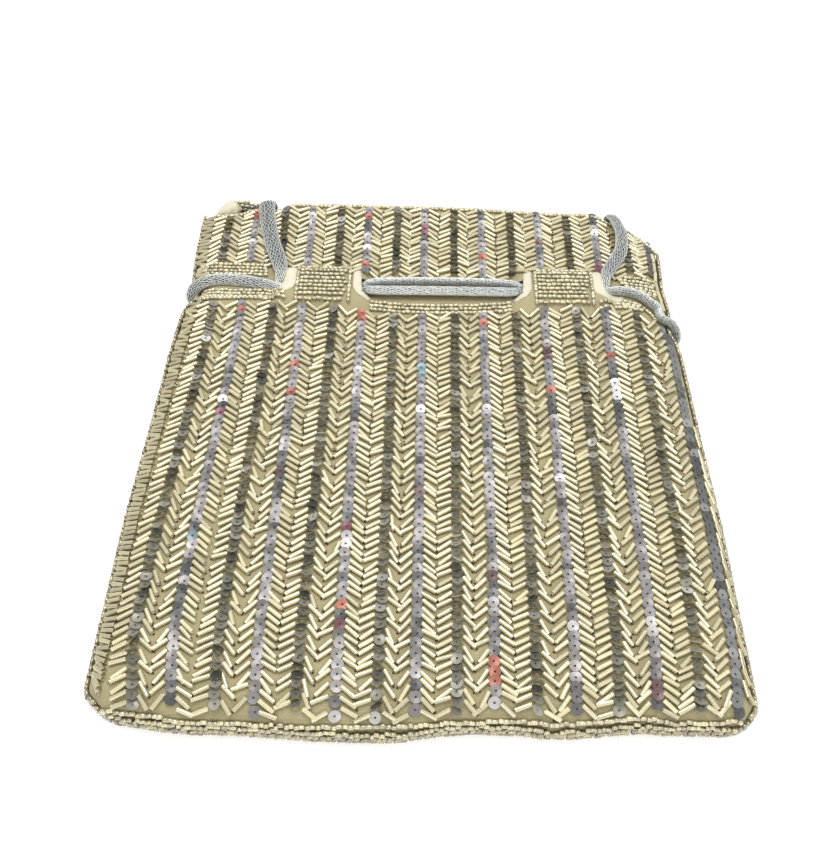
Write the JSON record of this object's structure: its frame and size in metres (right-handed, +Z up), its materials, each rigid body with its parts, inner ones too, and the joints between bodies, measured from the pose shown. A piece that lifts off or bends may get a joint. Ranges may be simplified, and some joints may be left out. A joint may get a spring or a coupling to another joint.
{
  "type": "potli bag",
  "caption": "Flat drawstring pouch with beaded herringbone panels, sequin stripes, a cloth lining and two cords threaded through slits in its casing.",
  "frame": {"origin": "centre of the underside's bounding box, on the surface that the bag lies on", "axes": "+Y along the bag towards the mouth, +X across the bag, +Z up through its thickness, from the back panel to the front panel"},
  "size_m": [0.2104, 0.2353, 0.0184],
  "materials": {
    "beadwork": "champagne silver-lined bugle beads sewn in herringbone on khaki cloth",
    "seed_beads": "champagne silver-lined seed beads",
    "lining": "cream satin-weave cloth",
    "sequins": "flat lilac-grey and gunmetal sequins",
    "cord": "silver metallic tubular knit"
  },
  "bodies": {
    "bag": {"front_outer_panel": "beadwork", "back_outer_panel": "beadwork", "front_lining": "lining", "back_lining": "lining", "front_edge_beads": "seed_beads", "back_edge_beads": "seed_beads", "front_mouth_beads": "seed_beads", "back_mouth_beads": "seed_beads", "front_upper_casing_beads": "seed_beads", "front_lower_casing_beads": "seed_beads", "back_upper_casing_beads": "seed_beads", "back_lower_casing_beads": "seed_beads", "front_left_bead_block": "seed_beads", "front_right_bead_block": "seed_beads", "back_left_bead_block": "seed_beads", "back_right_bead_block": "seed_beads", "front_slit_facing_1": "lining", "front_slit_facing_2": "lining", "front_slit_facing_3": "lining", "front_slit_facing_4": "lining", "back_slit_facing_1": "lining", "back_slit_facing_2": "lining", "back_slit_facing_3": "lining", "back_slit_facing_4": "lining", "front_sequin_stripe_01": "sequins", "front_sequin_stripe_02": "sequins", "front_sequin_stripe_03": "sequins", "front_sequin_stripe_04": "sequins", "front_sequin_stripe_05": "sequins", "front_sequin_stripe_06": "sequins", "front_sequin_stripe_07": "sequins", "front_sequin_stripe_08": "sequins", "front_sequin_stripe_09": "sequins", "front_sequin_stripe_10": "sequins", "front_sequin_stripe_11": "sequins", "front_sequin_stripe_12": "sequins", "front_sequin_stripe_13": "sequins", "front_sequin_stripe_14": "sequins", "front_sequin_stripe_15": "sequins", "front_sequin_stripe_16": "sequins", "left_drawcord": "cord", "right_drawcord": "cord"},
    "left_handle": {"left_handle_front_strand": "cord", "left_handle_back_strand": "cord", "left_knot": "cord"},
    "right_handle": {"right_handle_front_strand": "cord", "right_handle_back_strand": "cord", "right_knot": "cord"}
  },
  "joints": [
    {"name": "left_pull", "type": "slide", "parent": "bag", "child": "left_handle", "axis": [-1, 0, 0], "range_m": [0, 0.12]},
    {"name": "right_pull", "type": "slide", "parent": "bag", "child": "right_handle", "axis": [1, 0, 0], "range_m": [0, 0.12]}
  ]
}
